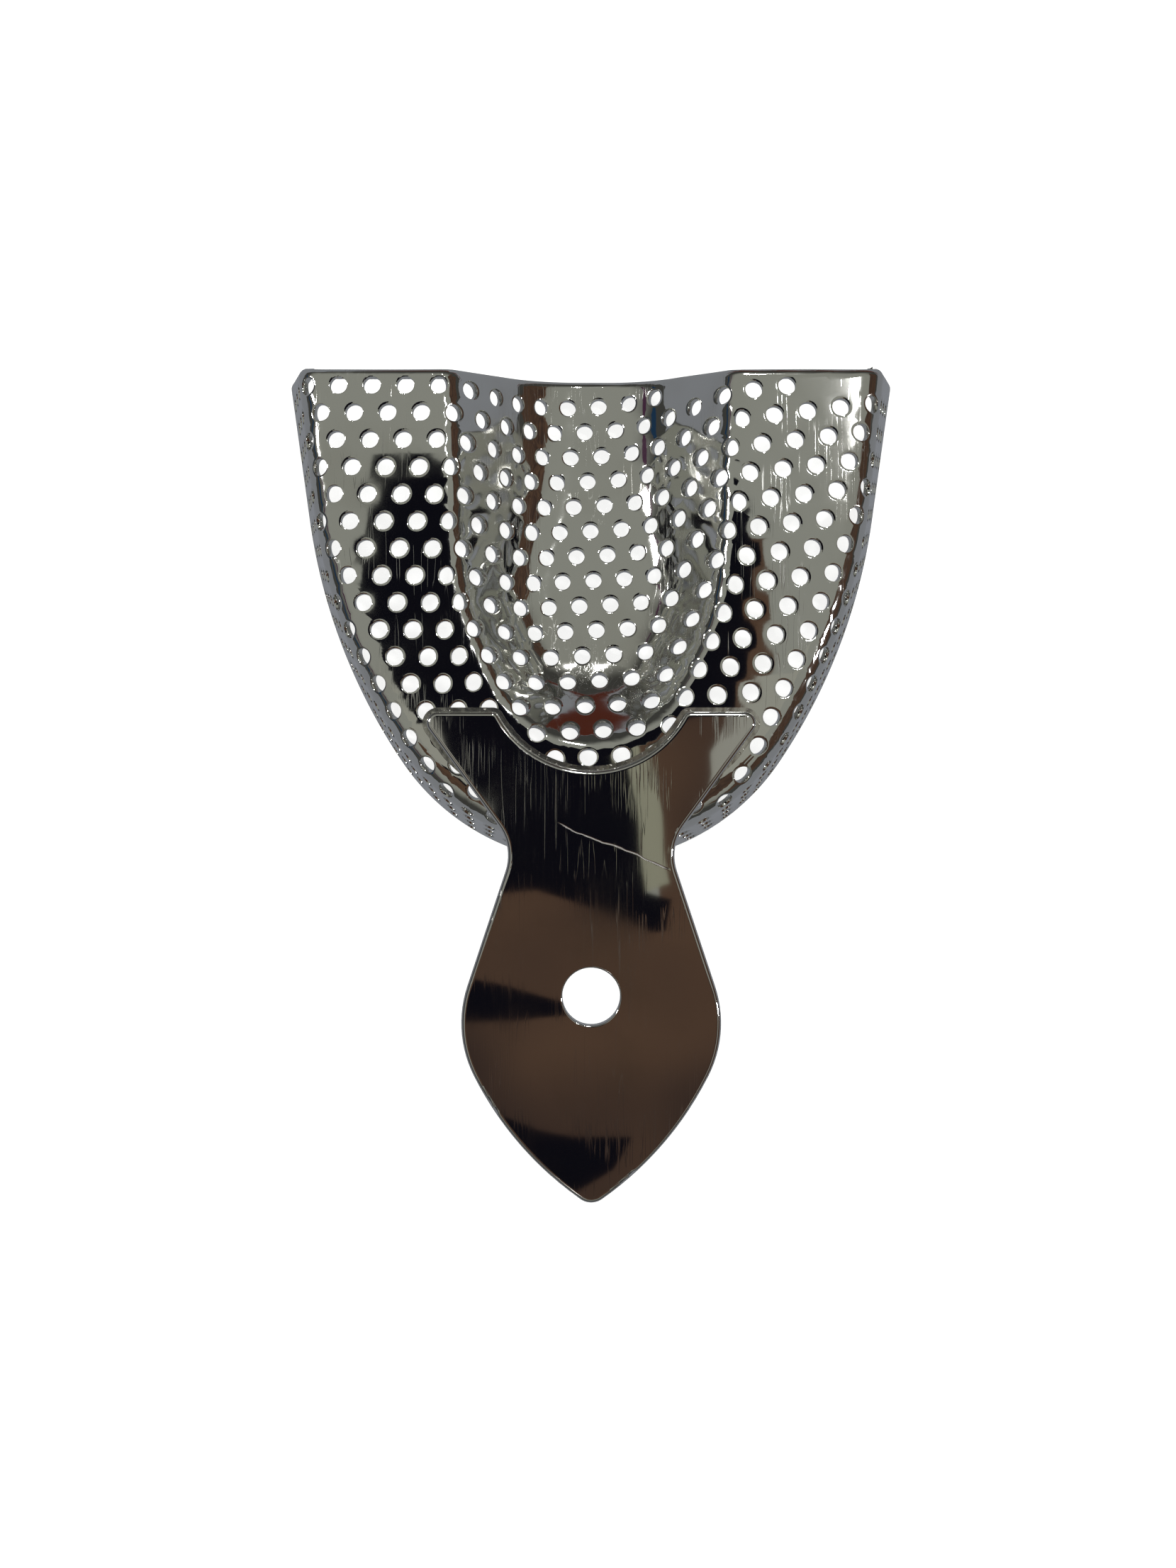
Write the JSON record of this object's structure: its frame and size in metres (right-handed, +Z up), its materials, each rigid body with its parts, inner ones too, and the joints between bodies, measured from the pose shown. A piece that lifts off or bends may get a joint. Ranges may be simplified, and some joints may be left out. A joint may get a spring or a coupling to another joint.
{
  "type": "impression tray",
  "caption": "Perforated metal upper dental impression tray: U-shaped trough with palate vault and a flat spade-shaped handle soldered on",
  "frame": {"origin": "centre of the footprint on the rim plane", "axes": "+Z up from the rims to the outside of the trough floor, +Y to the open rear of the tray, the handle reaches to -Y, +X to the right"},
  "size_m": [0.079, 0.103, 0.0165],
  "materials": {
    "polished_sheet": "bright polished, slightly wavy from pressing, burnished hole edges",
    "polished_plate": "bright polished with fine scratches",
    "silver_solder": "ground and polished solder"
  },
  "bodies": {
    "root": {"tray_shell": "polished_sheet", "handle_plate": "polished_plate", "solder_seam": "silver_solder", "solder_wedge": "silver_solder", "solder_plugs": "silver_solder"}
  },
  "joints": []
}
